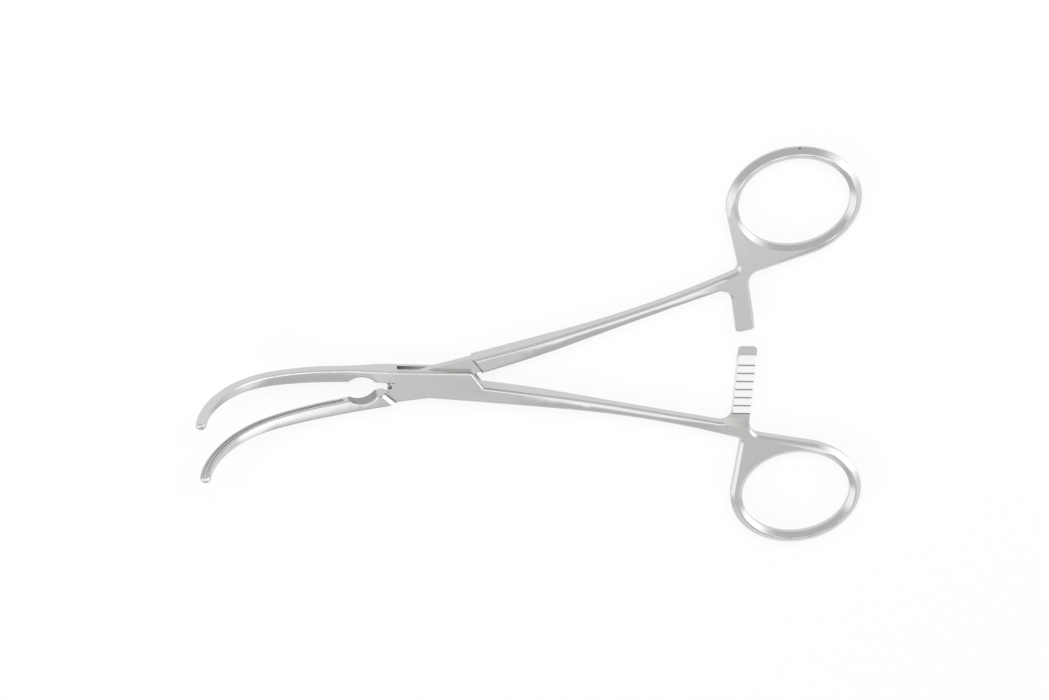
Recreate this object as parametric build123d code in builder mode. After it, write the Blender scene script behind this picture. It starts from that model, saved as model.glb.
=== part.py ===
import os
from math import cos, radians, sin, sqrt, tan

from build123d import *

# Curved vascular clamp with a box lock, finger rings and a ratchet, shown part open.
# Each half is drawn in its closed place: the hinge axis is Z, the jaw points to +X and the two
# jaws close on the plane Y = 0. The mid-plane of the clamp is Z = 0 until the halves are placed.
# Lengths are in millimetres and angles in degrees.

# Opening of the clamp as it lies
half_opening = 6.4

# Lock
lock_thickness = 5.2
lock_half_width = 3.5
lock_rear_x = -10.0
lock_flare_x = 7.15
lock_flare = 1.1
lock_front_x = 10.05
lock_front_offset = 1.3
slot_height = 2.0
slot_clearance = 0.05
slot_end_x = 7.9
slot_end_slant = 3.0
tongue_play = 0.8
front_shoulder_x = 8.6
front_shoulder_slant = 2.85
rear_shoulder_x = -11.45
rear_shoulder_slant = 1.75
shoulder_bevel = 0.8
throat_gap = 0.45

# Hinge pin
pin_diameter = 2.2
pin_clearance = 0.04

# Relief hollow between the roots of the jaws
relief_x = 16.3
relief_radius = 4.8
relief_depth = 1.65
relief_bevel_start = 1.75

# Jaws: a straight run from the lock, then three bends that curve up
jaw_start_x = 8.0
jaw_overlap = 0.5
jaw_lift = 2.3
jaw_straight_end = 24.7
jaw_bend_radii = (54.0, 22.3, 32.5)
jaw_bend_angles = (13.6, 34.5, 35.3)
jaw_height = 3.0
jaw_tip_height = 2.4
jaw_root_end_x = 21.0
jaw_middle_x = 30.0
jaw_middle_depth = 3.05
jaw_tip_depth = 1.0
jaw_tip_gap = 0.05
jaw_lean = 0.5
jaw_edge = 0.6
jaw_face_edge = 0.2

# Rows of teeth along the jaw faces: ridges on one jaw and grooves for them in the other
row_spacing = 0.34
row_start_x = 21.0
row_end_margin = 0.4
groove_width = 0.38
groove_depth = 0.4
ridge_rise = 0.3
row_clearance = 0.07

# Shanks: distance of the centre line from the closing plane, and width, at four places
shank_x = (-13.2, -32.5, -52.5, -78.0)
shank_offset = (2.45, 4.55, 7.45, 12.15)
shank_width = (3.9, 3.05, 2.35, 3.5)
shank_taper_start = -16.0
shank_taper_end = -52.0
handle_thickness = 3.4
handle_edge = 0.6
ring_inner_edge = 1.1
waist_radius = 2.0

# Finger rings
ring_x = -93.3
ring_offset = 28.8
ring_long_radius = 15.0
ring_short_radius = 12.5
ring_width = 2.8
ring_turn = 3.3
notch_radius = 1.8

# Ratchet arms
arm_inner_x = -75.15
arm_width = 4.65
arm_root_offset = 12.6
arm_root_radius = 2.6
arm_ring_radius = 3.0
arm_tip_radius = 0.9
box_arm_reach = 10.1
tongue_arm_reach = 2.0
ratchet_pitch = 2.18
ratchet_depth = 0.6
ratchet_crest_gap = 0.06
ratchet_last_tooth = 7.5
tooth_bevel = 0.3
recess_offset = 10.6


half_lock = lock_thickness / 2
half_slot = slot_height / 2
half_tongue = half_slot - slot_clearance
far = 4 * lock_half_width


def tangent_point(point, side):
    """Where a line from a point touches the outside of the ring."""
    turn = radians(ring_turn)
    a = ring_long_radius + ring_width / 2
    b = ring_short_radius + ring_width / 2
    dx = point[0] - ring_x
    dy = point[1] - ring_offset
    u = (dx * cos(turn) + dy * sin(turn)) / a
    v = (dy * cos(turn) - dx * sin(turn)) / b
    reach = u * u + v * v
    root = side * sqrt(reach - 1)
    tu = (u - v * root) / reach * a
    tv = (v + u * root) / reach * b
    return (
        ring_x + tu * cos(turn) - tv * sin(turn),
        ring_offset + tu * sin(turn) + tv * cos(turn),
    )


def near(shape_list, x, y):
    """The upright edge nearest to a place in plan."""
    return shape_list.filter_by(Axis.Z).sort_by_distance((x, y, 0))[0]


def make_plate(lock_outline, rounded, sharp, arm_reach):
    """Lock plate, shank, ring and ratchet arm, handle on the +Y side and teeth facing up."""
    stations = list(zip(shank_x, shank_offset, shank_width))
    outer_points = [(x, y + w / 2) for x, y, w in stations]
    inner_points = [(x, y - w / 2) for x, y, w in stations]
    notch = outer_points[-1]
    arm_outer_x = arm_inner_x - arm_width
    web_corner = (arm_outer_x, arm_root_offset)
    ring_side = tangent_point(notch, 1)
    ring_foot = tangent_point(web_corner, -1)
    half_handle = handle_thickness / 2
    with BuildPart() as handle:
        with BuildSketch(Plane.XY.offset(-half_lock)):
            with BuildLine():
                Spline(outer_points)
                Line(outer_points[-1], inner_points[-1])
                Spline(inner_points[::-1])
                Line(inner_points[0], outer_points[0])
            make_face()
            with BuildLine():
                Polyline(
                    notch,
                    ring_side,
                    (ring_x, ring_offset),
                    ring_foot,
                    web_corner,
                    (arm_outer_x, inner_points[-1][1]),
                    inner_points[-1],
                    close=True,
                )
            make_face()
            with BuildLine():
                Polyline(lock_outline, close=True)
            make_face()
            with BuildLine():
                Polyline(
                    (arm_inner_x, arm_root_offset),
                    (arm_outer_x, arm_root_offset),
                    (arm_outer_x, -arm_reach),
                    (arm_inner_x, -arm_reach),
                    close=True,
                )
            make_face()
            with Locations((ring_x, ring_offset)):
                Ellipse(
                    ring_long_radius + ring_width / 2,
                    ring_short_radius + ring_width / 2,
                    rotation=ring_turn,
                )
                Ellipse(
                    ring_long_radius - ring_width / 2,
                    ring_short_radius - ring_width / 2,
                    rotation=ring_turn,
                    mode=Mode.SUBTRACT,
                )
        extrude(amount=lock_thickness)
        # Rounded corners of the outline
        fillet(near(handle.edges(), *notch), notch_radius)
        fillet(near(handle.edges(), arm_inner_x, inner_points[-1][1]), arm_root_radius)
        fillet(near(handle.edges(), *web_corner), arm_ring_radius)
        fillet(near(handle.edges(), arm_inner_x, -arm_reach), arm_tip_radius)
        fillet(near(handle.edges(), arm_outer_x, -arm_reach), arm_tip_radius)
        for corner in rounded:
            fillet(near(handle.edges(), *corner), waist_radius)
        # The shank thins from the lock to the rings
        with BuildSketch(Plane.XZ):
            with BuildLine():
                middle_x = (shank_taper_start + shank_taper_end) / 2
                rear_x = ring_x - ring_long_radius - ring_width
                Line((far, half_lock), (shank_taper_start, half_lock))
                Bezier(
                    (shank_taper_start, half_lock),
                    (middle_x, half_lock),
                    (middle_x, half_handle),
                    (shank_taper_end, half_handle),
                )
                Line((shank_taper_end, half_handle), (rear_x, half_handle))
                Line((rear_x, half_handle), (rear_x, 0))
                Line((rear_x, 0), (far, 0))
                Line((far, 0), (far, half_lock))
            make_face()
            mirror(about=Plane.XZ)
        extrude(amount=2 * ring_offset, both=True, mode=Mode.INTERSECT)
        rims = [
            edge
            for edge in handle.edges()
            if abs(edge.center().Z) > half_handle / 2
            and not is_cross_line(edge)
            and not sharp(edge.center())
        ]
        chamfer([edge for edge in rims if not edge.is_closed], handle_edge)
        chamfer([edge for edge in handle.edges() if edge.is_closed], ring_inner_edge)
        # The arm is cut down to the floor of the teeth, as far as the step at its root
        floor = -ratchet_crest_gap - ratchet_depth
        with BuildSketch(Plane.XY.offset(floor)):
            with BuildLine():
                left = (arm_inner_x + arm_root_radius, recess_offset - 1.2)
                right = (arm_outer_x - arm_root_radius, recess_offset)
                ThreePointArc(left, (arm_inner_x - 1, recess_offset - 0.1), right)
                Polyline(right, (right[0], -2 * arm_reach), (left[0], -2 * arm_reach), left)
            make_face()
        extrude(amount=half_lock - floor, mode=Mode.SUBTRACT)
        # Teeth: a gentle slope towards the tip and a steep face towards the ring
        last = ratchet_last_tooth
        teeth = int((last + arm_reach - arm_tip_radius) / ratchet_pitch)
        first = last - teeth * ratchet_pitch
        with BuildSketch(Plane.YZ.offset(arm_outer_x)):
            with BuildLine():
                points = [(first, floor - ratchet_depth), (first, floor)]
                for tooth in range(teeth):
                    foot = first + (tooth + 1) * ratchet_pitch
                    points += [(foot, -ratchet_crest_gap), (foot, floor)]
                points += [(last, floor - ratchet_depth)]
                Polyline(points, close=True)
            make_face()
        extrude(amount=arm_width)
        teeth_edges = handle.edges().filter_by(
            lambda edge: abs(edge.center().X - arm_inner_x) < 0.01
            and edge.center().Z > floor + ratchet_depth / 20
        )
        chamfer(teeth_edges, tooth_bevel)
    return handle.part


def is_cross_line(edge):
    """Whether an edge only marks where the taper of the shank starts or ends."""
    away = min(abs(edge.center().X - x) for x in (shank_taper_start, shank_taper_end))
    return edge.geom_type == GeomType.LINE and away < 0.01


def jaw_station(distance):
    """Place and heading on the jaw curve, at a distance along it from its start."""
    heading = radians(jaw_lift)
    straight = min(distance, jaw_run)
    x = jaw_start_x + straight * cos(heading)
    z = straight * sin(heading)
    left = distance - straight
    for radius, angle in zip(jaw_bend_radii, jaw_bend_angles):
        turn = min(radians(angle), left / radius)
        x += radius * (sin(heading + turn) - sin(heading))
        z += radius * (cos(heading) - cos(heading + turn))
        heading += turn
        left -= turn * radius
    return x, z, heading


jaw_run = (jaw_straight_end - jaw_start_x) / cos(radians(jaw_lift))
jaw_bends = [radius * radians(angle) for radius, angle in zip(jaw_bend_radii, jaw_bend_angles)]
jaw_length = jaw_run + sum(jaw_bends)
jaw_stops = [jaw_run + sum(jaw_bends[:count]) for count in range(len(jaw_bends))]


def jaw_point(distance, offset):
    """A point in the side view, at an offset above the middle curve of the jaw."""
    x, z, heading = jaw_station(distance)
    return x - offset * sin(heading), z + offset * cos(heading)


def jaw_half(distance):
    """Half the height of the jaw: it grows slimmer along the bends."""
    share = max(0, (distance - jaw_run) / (jaw_length - jaw_run))
    return (jaw_height + share * (jaw_tip_height - jaw_height)) / 2


def jaw_curve(share, offset, stops):
    """A curve beside the middle one, at a share of the half height plus an offset."""
    for one, two in zip(stops, stops[1:]):
        places = [one, (one + two) / 2, two]
        points = [jaw_point(place, share * jaw_half(place) + offset) for place in places]
        if max(one, two) <= jaw_run:
            Line(points[0], points[2])
        else:
            ThreePointArc(*points)


def face_y(x):
    """The face of the lower-Y jaw in plan: it leans back from the tip to the root."""
    return -jaw_tip_gap - (jaw_tip_x - x) * tan(radians(jaw_lean))


def seen_both_ways(side, plan):
    """The solid that has one outline from the side and the other from above."""
    with BuildPart() as piece:
        extrude(side, amount=2 * lock_half_width, both=True)
        extrude(plan, amount=2 * jaw_length, both=True, mode=Mode.INTERSECT)
    return piece.part


def make_rows(width, front, back):
    """Two strips along the face, on both sides of the middle curve, from in front to behind."""
    start = (row_start_x - jaw_start_x) / cos(radians(jaw_lift))
    end = jaw_length - row_end_margin
    with BuildSketch(Plane.XY) as plan:
        with BuildLine():
            Polyline(
                (jaw_start_x, face_y(jaw_start_x) + front),
                (jaw_tip_x, face_y(jaw_tip_x) + front),
                (jaw_tip_x, face_y(jaw_tip_x) - back),
                (jaw_start_x, face_y(jaw_start_x) - back),
                close=True,
            )
        make_face()
    strips = []
    for offset in (-row_spacing, row_spacing):
        low, high = offset - width / 2, offset + width / 2
        with BuildSketch(Plane.XZ) as side:
            with BuildLine():
                jaw_curve(0, low, [start] + jaw_stops + [end])
                Line(jaw_point(end, low), jaw_point(end, high))
                jaw_curve(0, high, [end] + jaw_stops[::-1] + [start])
                Line(jaw_point(start, high), jaw_point(start, low))
            make_face()
        strips.append(seen_both_ways(side.sketch, plan.sketch))
    return strips


def make_jaw():
    """Curved jaw on the -Y side, with rounded outer edges and a round tip."""
    root = (jaw_root_end_x - jaw_start_x) / cos(radians(jaw_lift))
    stops = [root] + jaw_stops + [jaw_length - jaw_tip_height / 2]
    lift = (cos(radians(jaw_lift)), sin(radians(jaw_lift)))
    with BuildSketch(Plane.XZ) as side:
        with BuildLine():
            Spline((jaw_start_x, -half_lock), jaw_point(root, -jaw_height / 2), tangents=((1, 0), lift))
            jaw_curve(-1, 0, stops)
            ThreePointArc(
                jaw_point(stops[-1], -jaw_half(stops[-1])),
                jaw_point(jaw_length, 0),
                jaw_point(stops[-1], jaw_half(stops[-1])),
            )
            jaw_curve(1, 0, stops[::-1])
            Spline(
                jaw_point(root, jaw_height / 2),
                (jaw_start_x, half_lock),
                tangents=((-lift[0], -lift[1]), (-1, 0)),
            )
            Line((jaw_start_x, half_lock), (jaw_start_x, -half_lock))
        make_face()
    with BuildSketch(Plane.XY) as plan:
        with BuildLine():
            Polyline(
                (jaw_start_x, -lock_half_width),
                (jaw_start_x, face_y(jaw_start_x)),
                (jaw_tip_x, face_y(jaw_tip_x)),
                (jaw_tip_x, face_y(jaw_tip_x) - jaw_tip_depth),
            )
            ThreePointArc(
                (jaw_tip_x, face_y(jaw_tip_x) - jaw_tip_depth),
                (jaw_middle_x, face_y(jaw_middle_x) - jaw_middle_depth),
                (jaw_start_x, -lock_half_width),
            )
        make_face()
    with BuildPart() as jaw:
        add(seen_both_ways(side.sketch, plan.sketch))
        back = [face for face in jaw.faces() if face.normal_at().Y < -0.9]
        outer = [
            edge
            for face in back
            for edge in face.edges()
            if edge.center().X > jaw_start_x + 0.01 and abs(edge.tangent_at(0).Z) < 0.99
        ]
        fillet(ShapeList(set(outer)), jaw_edge)
        front = [face for face in jaw.faces() if face.normal_at().Y > 0.9]
        chamfer([edge for edge in front[0].edges() if edge.center().X > jaw_start_x + 0.01], jaw_face_edge)
    return jaw.part


def cut(points, low, high, flare=0):
    """Cut away a plan between two heights, with sides that lean outwards by the flare."""
    with BuildSketch(Plane.XY.offset(low)) as plan:
        with BuildLine():
            Polyline(points, close=True)
        make_face()
    extrude(plan.sketch, amount=high - low, taper=-flare, mode=Mode.SUBTRACT)


def cut_relief(centre):
    """The hollow, a round cut across the jaw that flares at the top of the jaw."""
    flare = half_lock - relief_bevel_start
    with Locations((relief_x, centre)):
        Cylinder(relief_radius, 4 * lock_thickness, mode=Mode.SUBTRACT)
    with Locations((relief_x, centre, relief_bevel_start + flare / 2)):
        Cone(relief_radius, relief_radius + flare, flare, mode=Mode.SUBTRACT)


# Plans of the lock, for a half whose handle is on the +Y side
tongue_end_x = slot_end_x - tongue_play
shank_inner = shank_offset[0] - shank_width[0] / 2
shank_outer = shank_offset[0] + shank_width[0] / 2
waist = (0, lock_half_width)
box_outline = [
    (jaw_start_x + jaw_overlap, -lock_half_width),
    (lock_rear_x, -lock_half_width),
    (shank_x[0], shank_inner),
    (shank_x[0], shank_outer),
    waist,
    (lock_flare_x, lock_half_width + lock_flare),
    (lock_front_x, lock_front_offset),
    (lock_front_x, -throat_gap),
    (jaw_start_x + jaw_overlap, -throat_gap),
]
tongue_outline = [
    (jaw_start_x + jaw_overlap, -lock_half_width),
    (-tongue_end_x, -lock_half_width),
    (-tongue_end_x - slot_end_slant, 0),
    (shank_x[0], shank_inner),
    (shank_x[0], shank_outer),
    waist,
    (tongue_end_x, lock_half_width),
    (tongue_end_x + slot_end_slant, 0),
    (tongue_end_x + slot_end_slant, -throat_gap),
    (jaw_start_x + jaw_overlap, -throat_gap),
]
slot_outline = [
    (slot_end_x, -far),
    (slot_end_x, -lock_half_width),
    (slot_end_x + slot_end_slant, 0),
    (far, 0),
    (far, far),
    (-slot_end_x, far),
    (-slot_end_x, lock_half_width),
    (-slot_end_x - slot_end_slant, 0),
    (-far, 0),
    (-far, -far),
]
front_lean = front_shoulder_slant / lock_half_width
rear_lean = rear_shoulder_slant / lock_half_width
throat_outline = [
    (lock_front_x - 1, -throat_gap),
    (relief_x, -throat_gap),
    (relief_x, 1),
    (lock_front_x - 1, 1),
]
shoulder_outline = [
    (front_shoulder_x + front_lean * (lock_half_width + far), -far),
    (front_shoulder_x + front_lean * (lock_half_width - far), far),
    (rear_shoulder_x - rear_lean * (lock_half_width + far), far),
    (rear_shoulder_x - rear_lean * (lock_half_width - far), -far),
]


def is_jaw_root(centre):
    """Whether a rim of the plate lies inside the root of the jaw."""
    return centre.X > jaw_start_x + jaw_overlap - 0.01


def stays_sharp(centre):
    """Whether a rim of the tongue's plate belongs to the part that runs inside the slot."""
    return centre.X > 0 or centre.X > -slot_end_x - slot_end_slant / 2 and centre.Y < shank_outer


jaw_tip_x = jaw_point(jaw_length, -jaw_height / 2)[0] + jaw_height
jaw = make_jaw()

with BuildPart() as box_closed:
    add(make_plate(box_outline, [waist], is_jaw_root, box_arm_reach))
    add(jaw)
    for ridge in make_rows(groove_width - 2 * row_clearance, ridge_rise, groove_depth):
        add(ridge)
    cut(throat_outline, -half_lock, half_lock)
    cut_relief(relief_radius - relief_depth)
    cut(slot_outline, -half_slot, half_slot)
    Cylinder(pin_diameter / 2, 2 * lock_thickness, mode=Mode.SUBTRACT)

with BuildPart() as tongue_closed:
    add(make_plate(tongue_outline, [], stays_sharp, tongue_arm_reach), rotation=(180, 0, 0))
    mirror(jaw, about=Plane.XZ)
    for groove in make_rows(groove_width, ridge_rise, groove_depth):
        mirror(groove, about=Plane.XZ, mode=Mode.SUBTRACT)
    cut([(x, -y) for x, y in throat_outline], -half_lock, half_lock)
    cut_relief(relief_depth - relief_radius)
    cut(shoulder_outline, half_tongue, lock_thickness)
    cut(shoulder_outline, half_lock - shoulder_bevel, lock_thickness, 45)
    cut(shoulder_outline, -half_tongue, -lock_thickness)
    cut(shoulder_outline, shoulder_bevel - half_lock, -lock_thickness, 45)
    Cylinder(pin_diameter / 2 + pin_clearance, 2 * lock_thickness, mode=Mode.SUBTRACT)

# The halves are set open and lifted, so that the underside of the lock is the ground
os.makedirs("parts", exist_ok=True)

with BuildPart() as box_half:
    with Locations((0, 0, half_lock)):
        add(box_closed.part, rotation=(0, 0, -half_opening))
box_half.part.label = "box_half"
export_step(box_half.part, "parts/box_half.step")

with BuildPart() as tongue_half:
    with Locations((0, 0, half_lock)):
        add(tongue_closed.part, rotation=(0, 0, half_opening))
tongue_half.part.label = "tongue_half"
export_step(tongue_half.part, "parts/tongue_half.step")

with BuildPart() as hinge_pin:
    Cylinder(pin_diameter / 2, lock_thickness, align=(Align.CENTER, Align.CENTER, Align.MIN))
hinge_pin.part.label = "hinge_pin"
export_step(hinge_pin.part, "parts/hinge_pin.step")
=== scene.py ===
import bpy
import bmesh
from math import atan2, cos, degrees, radians, sin, tan
from mathutils import Matrix, Vector


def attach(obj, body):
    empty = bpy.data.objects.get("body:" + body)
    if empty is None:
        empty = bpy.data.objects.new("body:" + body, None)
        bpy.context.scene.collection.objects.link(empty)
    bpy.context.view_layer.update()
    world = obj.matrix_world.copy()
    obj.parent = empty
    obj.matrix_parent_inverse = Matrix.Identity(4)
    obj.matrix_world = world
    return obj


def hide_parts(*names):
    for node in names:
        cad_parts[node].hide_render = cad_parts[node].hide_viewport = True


# Vascular clamp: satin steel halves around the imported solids, on a white table.
# Lengths in the dictionaries are millimetres and angles are degrees, unless a note says otherwise.
# "Closed clamp" is the plane both halves lie in when shut: x towards the tips, y across, z up.

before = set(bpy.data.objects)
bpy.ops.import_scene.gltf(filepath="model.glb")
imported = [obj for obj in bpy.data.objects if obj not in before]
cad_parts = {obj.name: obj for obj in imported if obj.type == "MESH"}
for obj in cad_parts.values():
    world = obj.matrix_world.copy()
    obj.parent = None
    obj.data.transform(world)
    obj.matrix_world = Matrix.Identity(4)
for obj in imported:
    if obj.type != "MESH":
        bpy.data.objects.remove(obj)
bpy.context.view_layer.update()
mm = 0.001
print("frame loaded")


class Sock:  # a shader socket that takes part in sums
    def __init__(self, maker, socket):
        self.maker = maker
        self.socket = socket

    def math(self, operation, *values):
        return self.maker.node("ShaderNodeMath", {"operation": operation}, *values)

    def __add__(self, other):
        return self.math("ADD", self, other)

    def __sub__(self, other):
        return self.math("SUBTRACT", self, other)

    def __rsub__(self, other):
        return self.math("SUBTRACT", other, self)

    def __mul__(self, other):
        return self.math("MULTIPLY", self, other)

    def __truediv__(self, other):
        return self.math("DIVIDE", self, other)

    __radd__ = __add__
    __rmul__ = __mul__


class Maker:  # adds nodes to one node tree
    def __init__(self, tree):
        self.tree = tree
        self.tree.nodes.clear()

    def node(self, kind, settings=None, *values, output=0, **named):
        node = self.tree.nodes.new(kind)
        for name, value in (settings or {}).items():
            setattr(node, name, value)
        for key, value in list(enumerate(values)) + list(named.items()):
            socket = node.inputs[key if isinstance(key, int) else key.replace("_", " ")]
            if isinstance(value, Sock):
                self.tree.links.new(value.socket, socket)
            else:
                socket.default_value = value
        return Sock(self, node.outputs[output]) if node.outputs else None

    def vector(self, operation, one, two, output):
        return self.node("ShaderNodeVectorMath", {"operation": operation}, one, two, output=output)

    def dot(self, one, two):
        return self.vector("DOT_PRODUCT", one, two, "Value")

    def distance(self, one, two):
        return self.vector("DISTANCE", one, two, "Value")

    def ramp(self, value, low, high):  # 0 below low, 1 above high, smooth between
        settings = {"interpolation_type": "SMOOTHSTEP"}
        return self.node("ShaderNodeMapRange", settings, value, low, high, 0.0, 1.0)

    def between(self, value, low, high, edge):  # 1 from low to high, 0 past the edges
        return self.ramp(value, low - edge, low) * (1.0 - self.ramp(value, high, high + edge))

    def rays(self):  # camera, mirrored and transmitted rays
        kinds = ("Is Camera Ray", "Is Glossy Ray", "Is Transmission Ray")
        return [self.node("ShaderNodeLightPath", output=kind) for kind in kinds]


def grey(value):
    return (value, value, value, 1)


def addObject(name, data):
    added = bpy.data.objects.new(name, data)
    bpy.context.scene.collection.objects.link(added)
    return added


def useSteel(mesh, material):
    mesh.materials.clear()
    mesh.materials.append(material)


# Satin steel: brushed along the clamp and faintly cloudy, with a dark speck on one ring, and
# painted shade at the ratchet tooth feet and on the hollow wall before the lock

satinSteel = {
    "colour": (0.615, 0.625, 0.61, 1),
    # the colour of the speck and of the painted shade
    "speckAndShadeColour": (0.13, 0.13, 0.135, 1),
    "roughness": 0.22,
    "cloudRoughness": 0.05,
    "cloudScale": 160.0,
    "cloudDetail": 3.0,
    "brushRoughness": 0.04,
    "brushAcross": 4200.0,  # brush lines per metre, across and along
    "brushAlong": 140.0,
    "brushDetail": 2.0,
    "brushHeight": 0.0004,
    "brushStrength": 0.35,
    "speckPlace": (-90.87, -52.7, 3.2),
    "speckSize": 0.35,
    "speckCore": 0.5,  # share of the speck that is fully dark
}
toothRootShade = {  # painted shade: a dark line at the foot of each ratchet tooth that lies upwards
    "turn": -6.4,
    "across": (-79.7, -75.45),
    "first": -7.76,
    "pitch": 2.18,
    "teeth": 7,
    "from": 0.2,  # past the foot of the tooth before
    "to": 0.55,
    "edge": 0.1,
    "borderEdge": 0.05,
    "lowest": 1.6,
    "darkness": 0.85,
}
hollowWallShade = {  # painted shade: the round wall before the lock, on the tongue half, is coloured darker than the rest
    "centre": (16.55, -1.31),
    "radius": 4.8,
    "band": 0.15,
    "height": (0.15, 4.3),
    "edge": 0.1,
    "darkness": 0.62,
}


# painted shade along the foot of each ratchet tooth
def paintedRootShade(make, place, roots):
    turn = radians(roots["turn"])
    along = make.dot(place, (-sin(turn) / mm, cos(turn) / mm, 0))
    across = make.dot(place, (cos(turn) / mm, sin(turn) / mm, 0))
    height = make.dot(place, (0, 0, 1 / mm))
    start = roots["first"] + roots["pitch"] / 2
    end = start + roots["pitch"] * roots["teeth"]
    inside = (
        make.between(across, *roots["across"], roots["borderEdge"])
        * make.between(along, start, end, roots["borderEdge"])
        * make.ramp(height, roots["lowest"], roots["lowest"] + roots["edge"])
    )
    step = (along - roots["first"]) / roots["pitch"]
    past = step.math("FRACT", step) * roots["pitch"]
    line = make.between(past, roots["from"], roots["to"], roots["edge"])
    return inside * line * roots["darkness"]


# painted shade on the round wall of the hollow before the lock
def paintedWallShade(make, place, wall):
    flat = make.vector("MULTIPLY", place, (1, 1, 0), 0)
    out = make.distance(flat, Vector((*wall["centre"], 0)) * mm) / mm
    height = make.dot(place, (0, 0, 1 / mm))
    low, high = wall["radius"] - wall["band"], wall["radius"] + wall["band"]
    inside = (
        make.between(out, low, high, wall["edge"])
        * make.between(height, *wall["height"], wall["edge"])
    )
    return inside * wall["darkness"]


def makeSatinSteel(name, look, paintShade=None, where=None):
    material = bpy.data.materials.new(name)
    material.use_nodes = True
    make = Maker(material.node_tree)
    place = make.node("ShaderNodeTexCoord", output="Object")
    brushScale = (look["brushAlong"], look["brushAcross"], look["brushAcross"])
    stretched = make.node("ShaderNodeMapping", Vector=place, Scale=brushScale)
    brush = make.node(
        "ShaderNodeTexNoise", Vector=stretched, Scale=1.0, Detail=look["brushDetail"],
    )
    cloud = make.node(
        "ShaderNodeTexNoise", Vector=place, Scale=look["cloudScale"], Detail=look["cloudDetail"],
    )
    away = make.distance(place, Vector(look["speckPlace"]) * mm)
    speck = look["speckSize"] * mm
    dark = 1.0 - make.ramp(away, look["speckCore"] * speck, speck)
    # painted shade, where given, is added to the speck
    if paintShade:
        dark = dark + paintShade(make, place, where)
    colour = make.node(
        "ShaderNodeMix", {"data_type": "RGBA"}, dark,
        A=look["colour"], B=look["speckAndShadeColour"], output="Result",
    )
    roughness = (
        look["roughness"]
        + look["cloudRoughness"] * (cloud - 0.5)
        + look["brushRoughness"] * (brush - 0.5)
    )
    bump = make.node(
        "ShaderNodeBump",
        Strength=look["brushStrength"],
        Distance=look["brushHeight"] * mm,
        Height=brush,
    )
    metal = make.node(
        "ShaderNodeBsdfPrincipled",
        Base_Color=colour,
        Metallic=1.0,
        Roughness=roughness,
        Normal=bump,
    )
    make.node("ShaderNodeOutputMaterial", Surface=metal)
    return material


steel = makeSatinSteel("satinSteel", satinSteel)
# the box half's steel, with painted shade at the ratchet tooth feet
ratchetSteelPaintedShade = makeSatinSteel("ratchetSteelPaintedShade", satinSteel, paintedRootShade, toothRootShade)
# the tongue half's steel, with painted shade on the hollow wall
hollowSteelPaintedShade = makeSatinSteel("hollowSteelPaintedShade", satinSteel, paintedWallShade, hollowWallShade)
useSteel(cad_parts["hinge_pin"].data, steel)
print("steel done")

# Halves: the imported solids, softly shaded, with a deeper bevel round the outside of each ring

halves = {
    "boxSteel": {
        "node": "box_half", "body": "box_body",
        "turn": -6.4, "flip": False, "steel": ratchetSteelPaintedShade,
    },
    "tongueSteel": {
        "node": "tongue_half", "body": "tongue_body",
        "turn": 6.4, "flip": True, "steel": hollowSteelPaintedShade,
    },
}
lockMiddle = 2.6  # height of the middle of the lock
sameSpot = 0.001  # corners closer than this are one corner
ring = {
    "centre": (-93.3, 28.8),
    "radii": (16.4, 13.9),
    "turn": 3.3,
    "halfThickness": 1.7,
    "bevelNow": 0.6,
    "bevel": 1.3,
    "near": 0.12,  # a corner this close to the old bevel's edge is moved
    "from": -14.0,  # the bevel fades out where the webs meet the ring
    "to": 262.0,
    "fade": 42.0,
}
shading = {
    "flatAngle": 0.2,  # faces that meet at less than this are one face
    "softAngle": 50.0,  # a bevel is shaded softly up to this angle
    "curveAngle": 32.0,  # and any other two faces up to this one
    "toothAngle": 12.0,
    "bevelTilt": (0.35, 0.93),  # 1 is a flat, and 0 is a side wall
    "shoulderX": (5.0, 14.0),  # the shoulder bevel is shaded as if it lay flatter
    "shoulderFacing": -0.25,
    "shoulderLift": 0.7,
    "jawStart": 8.0,
    "teethX": (-80.5, -74.5),
    "teethBelow": 8.2,
    "roundShank": (-72.0, -60.0, -36.0, -22.0),  # x where it starts, is full, is full and ends
    "shankTilt": 0.42,
    "roundJaw": (12.0, 26.0),
    "jawTilt": 0.4,
    "ringStart": -74.0,
    "ringWidth": 2.9,
    "ringTilt": 0.55,
}


def placeOnHalf(x, y, z, half):  # from the closed clamp to its place in the frame
    if half["flip"]:
        y, z = -y, -z
    turn = radians(half["turn"])
    return (
        (x * cos(turn) - y * sin(turn)) * mm,
        (x * sin(turn) + y * cos(turn)) * mm,
        (z + lockMiddle) * mm,
    )


def findOnHalf(spot, half):  # the way back
    turn = radians(half["turn"])
    x = (spot.x * cos(turn) + spot.y * sin(turn)) / mm
    y = (spot.y * cos(turn) - spot.x * sin(turn)) / mm
    z = spot.z / mm - lockMiddle
    return (x, -y, -z) if half["flip"] else (x, y, z)


def clampShare(value):
    return max(0.0, min(1.0, value))


def findOnRing(spot, look, half):  # distance out from the rim, direction out, share of the bevel
    a, b = look["radii"]
    spin = Matrix.Rotation(radians(look["turn"]), 2)
    x, y, _ = findOnHalf(spot, half)
    point = spin.inverted() @ (Vector((x, y)) - Vector(look["centre"]))
    t = atan2(point.y / b, point.x / a)
    outwards = Vector((b * cos(t), a * sin(t))).normalized()
    away = (point - Vector((a * cos(t), b * sin(t)))).dot(outwards)
    angle = degrees(t) if degrees(t) > look["from"] else degrees(t) + 360
    share = clampShare(min(angle - look["from"], look["to"] - angle) / look["fade"])
    return away, spin @ outwards, share * share * (3 - 2 * share)


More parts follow.
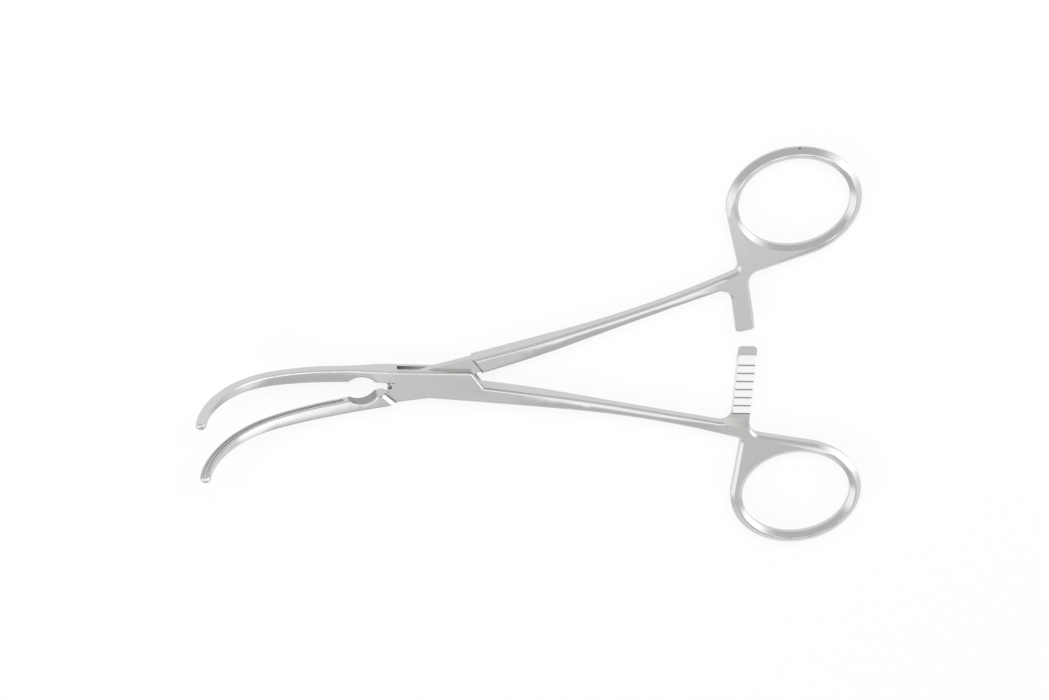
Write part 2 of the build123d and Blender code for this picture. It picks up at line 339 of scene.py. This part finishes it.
def deepenRingBevel(mesh, look, half):
    near = look["near"]
    top = look["halfThickness"]
    for vert in mesh.verts:
        x, y, z = findOnHalf(vert.co, half)
        away, outwards, share = findOnRing(vert.co, look, half)
        deeper = (look["bevel"] - look["bevelNow"]) * share
        if abs(away + look["bevelNow"]) < near and abs(abs(z) - top) < near:
            place = Vector((x, y)) - outwards * deeper
            vert.co = placeOnHalf(place.x, place.y, z, half)
        elif abs(away) < near and abs(abs(z) - top + look["bevelNow"]) < near:
            vert.co = placeOnHalf(x, y, z - deeper * (1 if z > 0 else -1), half)


def faceX(face, half):
    return findOnHalf(face.calc_center_median(), half)[0]


def faceTilt(face, half):  # 1 for a flat that lies up or down along the clamp, 0 for a side wall
    turn = radians(half["turn"])
    sideways = abs(face.normal.y * cos(turn) - face.normal.x * sin(turn))
    if faceX(face, half) > shading["jawStart"]:
        return max(0.0, 1 - sideways * sideways) ** 0.5
    return abs(face.normal.z)


def isBevel(face, half):
    return shading["bevelTilt"][0] < faceTilt(face, half) < shading["bevelTilt"][1]


def isShoulder(face, half):  # the bevels of the tongue half that face the front of the box
    turn = radians(half["turn"])
    along = face.normal.x * cos(turn) + face.normal.y * sin(turn)
    start, end = shading["shoulderX"]
    return half["flip"] and start < faceX(face, half) < end and along < shading["shoulderFacing"]


def isTooth(face, half):
    x, y, _ = findOnHalf(face.calc_center_median(), half)
    return shading["teethX"][0] < x < shading["teethX"][1] and y < shading["teethBelow"]


def roundTilt(vert, half):  # how far a narrow flat leans to its bevels, as if it were round
    x = findOnHalf(vert.co, half)[0]
    start, full, fullEnd, end = shading["roundShank"]
    onShank = clampShare(min((x - start) / (full - start), (end - x) / (end - fullEnd)))
    start, full = shading["roundJaw"]
    onJaw = clampShare((x - start) / (full - start))
    away, _, share = findOnRing(vert.co, ring, half)
    onRing = share if abs(away) < shading["ringWidth"] else 0
    return max(
        onShank * shading["shankTilt"],
        onJaw * shading["jawTilt"],
        onRing * shading["ringTilt"],
    )


def softNormals(mesh, half):  # flats and walls keep their normals, and bevels turn between them
    bevels = {face for face in mesh.faces if isBevel(face, half)}
    ringBevels = {face for face in bevels if faceX(face, half) < shading["ringStart"]}
    shoulders = {face for face in bevels if isShoulder(face, half)}
    teeth = {face for face in mesh.faces if isTooth(face, half)}
    flats = {
        face for face in mesh.faces
        if face not in teeth and faceTilt(face, half) >= shading["bevelTilt"][1]
    }

    def softUpTo(face, other):
        if face in teeth or other in teeth:
            return radians(shading["toothAngle"])
        if face not in ringBevels and (face in bevels or other in bevels):
            return radians(shading["softAngle"])
        return radians(shading["curveAngle"])

    def loopNormal(face, loop):
        plain = Vector()
        slope = Vector()
        for other in loop.vert.link_faces:
            if face.normal.angle(other.normal, 0) > softUpTo(face, other):
                continue
            corner = next(one for one in other.loops if one.vert == loop.vert).calc_angle()
            if other in bevels:
                slope += other.normal * corner
            else:
                plain += other.normal * corner * other.calc_area()
        normal = plain.normalized() if plain.length else slope.normalized()
        if face in ringBevels and slope.length:
            normal = slope.normalized()
        elif face in flats and slope.length:
            normal = normal + slope.normalized() * roundTilt(loop.vert, half)
        return normal.normalized() if normal.length else face.normal

    normals = []
    for face in mesh.faces:
        if face in shoulders:
            lift = shading["shoulderLift"] * (1 if face.normal.z > 0 else -1)
            lifted = (face.normal + Vector((0, 0, lift))).normalized()
            normals += [lifted] * len(face.loops)
        else:
            normals += [loopNormal(face, loop) for loop in face.loops]
    return normals


def makeHalf(name, half):
    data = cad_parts[half["node"]].data.copy()
    data.name = name
    mesh = bmesh.new()
    mesh.from_mesh(data)
    bmesh.ops.remove_doubles(mesh, verts=mesh.verts, dist=sameSpot * mm)
    deepenRingBevel(mesh, ring, half)
    flat = radians(shading["flatAngle"])
    bmesh.ops.dissolve_limit(mesh, angle_limit=flat, verts=mesh.verts, edges=mesh.edges)
    mesh.normal_update()
    for face in mesh.faces:
        face.smooth = True
    openEdges = sum(1 for edge in mesh.edges if len(edge.link_faces) != 2)
    normals = softNormals(mesh, half)
    mesh.to_mesh(data)
    mesh.free()
    data.normals_split_custom_set(normals)
    useSteel(data, half["steel"])
    piece = addObject(name, data)
    print(name, "open edges", openEdges, "faces", len(data.polygons))
    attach(piece, half["body"])
    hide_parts(half["node"])


for name, half in halves.items():
    makeHalf(name, half)
print("halves done")

# Serrations: fine cross teeth along the rows of both jaw faces, near the tips

jaw = {  # the middle line of both jaws: a straight run and three arcs
    "start": 8.0,
    "lift": 2.3,
    "run": 24.7,
    "radii": (54.0, 22.3, 32.5),
    "angles": (13.6, 34.5, 35.3),
    "height": 3.0,
    "lean": 0.5,
    "tipGap": 0.05,
}
serrations = {
    "pitch": 0.3,
    "height": 0.045,
    "share": 0.55,  # of the pitch that a tooth fills
    "from": 33.0,  # along the middle line, from the jaw's start
    "tipGap": 0.75,
    "steps": 120,  # corners of the line that the teeth follow
}
serrationRows = {  # each row is its height off the middle line and its width
    "boxSerrations": {
        "half": "boxSteel", "side": -1, "rise": 0.3,
        "rows": ((-0.34, 0.24), (0.34, 0.24)),
    },
    "tongueSerrations": {
        "half": "tongueSteel", "side": 1, "rise": 0.0,
        "rows": ((-0.82, 0.4), (0.82, 0.4)),
    },
}


def jawRun():
    return (jaw["run"] - jaw["start"]) / cos(radians(jaw["lift"]))


def jawLength():
    bends = zip(jaw["radii"], jaw["angles"])
    return jawRun() + sum(radius * radians(angle) for radius, angle in bends)


def jawPoint(distance, offset):  # x and z at a distance along the middle line, and off it
    heading = radians(jaw["lift"])
    straight = min(distance, jawRun())
    x = jaw["start"] + straight * cos(heading)
    z = straight * sin(heading)
    left = distance - straight
    for radius, angle in zip(jaw["radii"], jaw["angles"]):
        bend = min(left, radius * radians(angle))
        after = heading + bend / radius
        x += radius * (sin(after) - sin(heading))
        z += radius * (cos(heading) - cos(after))
        heading = after
        left -= bend
    return x - offset * sin(heading), z + offset * cos(heading)


tipX = jawPoint(jawLength(), -jaw["height"] / 2)[0] + jaw["height"]  # the lean starts here


def makeSerrationTree():
    tree = bpy.data.node_groups.new("serrations", "GeometryNodeTree")
    for name, kind in (
        ("Geometry", "NodeSocketGeometry"),
        ("Pitch", "NodeSocketFloat"),
        ("Tooth Length", "NodeSocketFloat"),
        ("Tooth Width", "NodeSocketFloat"),
        ("Tooth Height", "NodeSocketFloat"),
        ("Face Normal", "NodeSocketVector"),
        ("Steel", "NodeSocketMaterial"),
    ):
        tree.interface.new_socket(name, in_out="INPUT", socket_type=kind)
    tree.interface.new_socket("Geometry", in_out="OUTPUT", socket_type="NodeSocketGeometry")
    make = Maker(tree)
    given = tree.nodes.new("NodeGroupInput")
    got = {socket.name: Sock(make, socket) for socket in given.outputs}
    points = make.node(
        "GeometryNodeResampleCurve", {"mode": "LENGTH"},
        Curve=got["Geometry"],
        Length=got["Pitch"],
    )
    size = make.node(
        "ShaderNodeCombineXYZ", None,
        got["Tooth Length"], got["Tooth Width"], got["Tooth Height"],
    )
    tooth = make.node("GeometryNodeMeshCube", None, size, 2, 2, 2)
    tangent = make.node("GeometryNodeInputTangent")
    along = make.node("FunctionNodeAlignRotationToVector", {"axis": "X"}, Vector=tangent)
    turned = make.node(
        "FunctionNodeAlignRotationToVector", {"axis": "Z", "pivot_axis": "X"},
        Rotation=along,
        Vector=got["Face Normal"],
    )
    teeth = make.node(
        "GeometryNodeInstanceOnPoints", Points=points, Instance=tooth, Rotation=turned,
    )
    solid = make.node("GeometryNodeRealizeInstances", None, teeth)
    finished = make.node("GeometryNodeSetMaterial", Geometry=solid, Material=got["Steel"])
    make.node("NodeGroupOutput", None, finished)
    return tree


serrationTree = makeSerrationTree()


def makeRowLine(name, look, half, offset):  # a curve on the jaw face that one row follows
    curve = bpy.data.curves.new(name, "CURVE")
    curve.dimensions = "3D"
    first = serrations["from"]
    last = jawLength() - serrations["tipGap"]
    count = serrations["steps"]
    line = curve.splines.new("POLY")
    line.points.add(count)
    for step in range(count + 1):
        x, z = jawPoint(first + (last - first) * step / count, offset)
        away = jaw["tipGap"] + (tipX - x) * tan(radians(jaw["lean"])) - look["rise"]
        line.points[step].co = (*placeOnHalf(x, look["side"] * away, z, half), 1)
    return curve


def makeSerrations(name, look):
    half = dict(halves[look["half"]], flip=False)  # both jaws are given in the same plane
    turn = radians(half["turn"])
    side = look["side"]
    mesh = bmesh.new()
    for offset, width in look["rows"]:
        piece = addObject(name, makeRowLine(name, look, half, offset))
        rows = piece.modifiers.new("serrations", "NODES")
        rows.node_group = serrationTree
        values = {
            "Pitch": serrations["pitch"] * mm,
            "Tooth Length": serrations["pitch"] * serrations["share"] * mm,
            "Tooth Width": width * mm,
            "Tooth Height": 2 * serrations["height"] * mm,
            "Face Normal": (side * sin(turn), -side * cos(turn), 0),
            "Steel": steel,
        }
        for item in serrationTree.interface.items_tree:
            if item.name in values:
                rows[item.identifier] = values[item.name]
        graph = bpy.context.evaluated_depsgraph_get()
        mesh.from_mesh(bpy.data.meshes.new_from_object(piece.evaluated_get(graph)))
        bpy.data.objects.remove(piece)
    data = bpy.data.meshes.new(name)
    mesh.to_mesh(data)
    mesh.free()
    useSteel(data, steel)
    piece = addObject(name, data)
    print(name, "faces", len(data.polygons))
    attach(piece, half["body"])


for name, look in serrationRows.items():
    makeSerrations(name, look)
print("serrations done")

# Table, surroundings, lamps and camera

stage = {
    "tableSize": 6.0,  # metres
    "tableWhite": 0.9,
    "tableGlow": 0.86,  # share of plain white in what the camera and mirrors see
    "roomDiffuse": 0.6,
    "roomGrey": 0.7,
    "softLight": 0.75,  # a bright strip over the clamp, seen in the steel alone
    "softLightLeft": 0.35,
    "softLightLeftFull": 0.8,
    "softLightEdges": (0.22, 0.5),
    "softLightLine": (-0.17, 0.985, 0.0),
    "leftLight": 0.55,
    "leftLightEdges": (0.58, 0.8),
}


def makeTable(look):
    half = look["tableSize"] / 2
    corners = [(-half, -half, 0), (half, -half, 0), (half, half, 0), (-half, half, 0)]
    mesh = bpy.data.meshes.new("table")
    mesh.from_pydata(corners, [], [(0, 1, 2, 3)])
    material = bpy.data.materials.new("tableWhite")
    material.use_nodes = True
    make = Maker(material.node_tree)
    paint = make.node("ShaderNodeBsdfDiffuse", Color=grey(look["tableWhite"]))
    glow = make.node("ShaderNodeEmission", Color=grey(1.0), Strength=1.0)
    seen, glossy, through = make.rays()
    part = (seen + glossy + through) * look["tableGlow"]
    surface = make.node("ShaderNodeMixShader", None, part, paint, glow)
    make.node("ShaderNodeOutputMaterial", Surface=surface)
    mesh.materials.append(material)
    return addObject("table", mesh)


def makeWorld(look):
    world = bpy.data.worlds.new("studio")
    bpy.context.scene.world = world
    world.use_nodes = True
    make = Maker(world.node_tree)
    seen, glossy, through = make.rays()
    towards = make.node("ShaderNodeTexCoord", output="Generated")
    aside = make.dot(towards, look["softLightLine"])
    strip = 1.0 - make.ramp(aside.math("ABSOLUTE", aside), *look["softLightEdges"])
    leftwards = make.dot(towards, (-1.0, 0.0, 0.0))
    left = make.ramp(leftwards, 0.0, look["softLightLeftFull"])
    wide = make.ramp(leftwards, *look["leftLightEdges"]) * (1.0 - strip)
    studio = (
        look["roomGrey"]
        + strip * (look["softLight"] + look["softLightLeft"] * left)
        + wide * look["leftLight"]
    )
    mirrored = glossy + through
    strength = seen + mirrored * studio + (1.0 - seen - mirrored) * look["roomDiffuse"]
    light = make.node("ShaderNodeBackground", Color=grey(1.0), Strength=strength)
    make.node("ShaderNodeOutputWorld", Surface=light)


lamps = {  # metres and watts
    "key": {"place": (-0.1, -0.9, 1.0), "size": (1.2, 0.5), "power": 10},
    "fill": {"place": (0.9, 0.5, 0.8), "size": (0.8, 0.8), "power": 5},
}
lampTarget = (-0.025, 0, 0.005)


def makeLamp(name, look, target):
    data = bpy.data.lights.new(name, "AREA")
    data.shape = "RECTANGLE"
    data.size, data.size_y = look["size"]
    data.energy = look["power"]
    lamp = addObject(name, data)
    lamp.location = look["place"]
    lamp.rotation_mode = "QUATERNION"
    lamp.rotation_quaternion = (Vector(target) - Vector(look["place"])).to_track_quat("-Z", "Y")
    lamp.visible_glossy = False


camera = {
    "place": (53.1, -359.6, 744.1),
    "right": (-0.9919, 0.0389, 0.1210),
    "up": (-0.0868, -0.9027, -0.4214),
    "lens": 117.68,
    "sensor": 36,
    "clip": (0.01, 20),  # metres
}


def makeCamera(look):
    data = bpy.data.cameras.new("photoView")
    data.lens = look["lens"]
    data.sensor_width = look["sensor"]
    data.clip_start, data.clip_end = look["clip"]
    view = addObject("photoView", data)
    right = Vector(look["right"]).normalized()
    back = right.cross(Vector(look["up"])).normalized()
    up = back.cross(right)
    turn = Matrix((right, up, back)).transposed().to_4x4()
    view.matrix_world = Matrix.Translation(Vector(look["place"]) * mm) @ turn
    bpy.context.scene.camera = view


makeTable(stage)
makeWorld(stage)
for name, look in lamps.items():
    makeLamp(name, look, lampTarget)
makeCamera(camera)
bpy.context.scene.view_settings.view_transform = "Standard"
print("stage done")
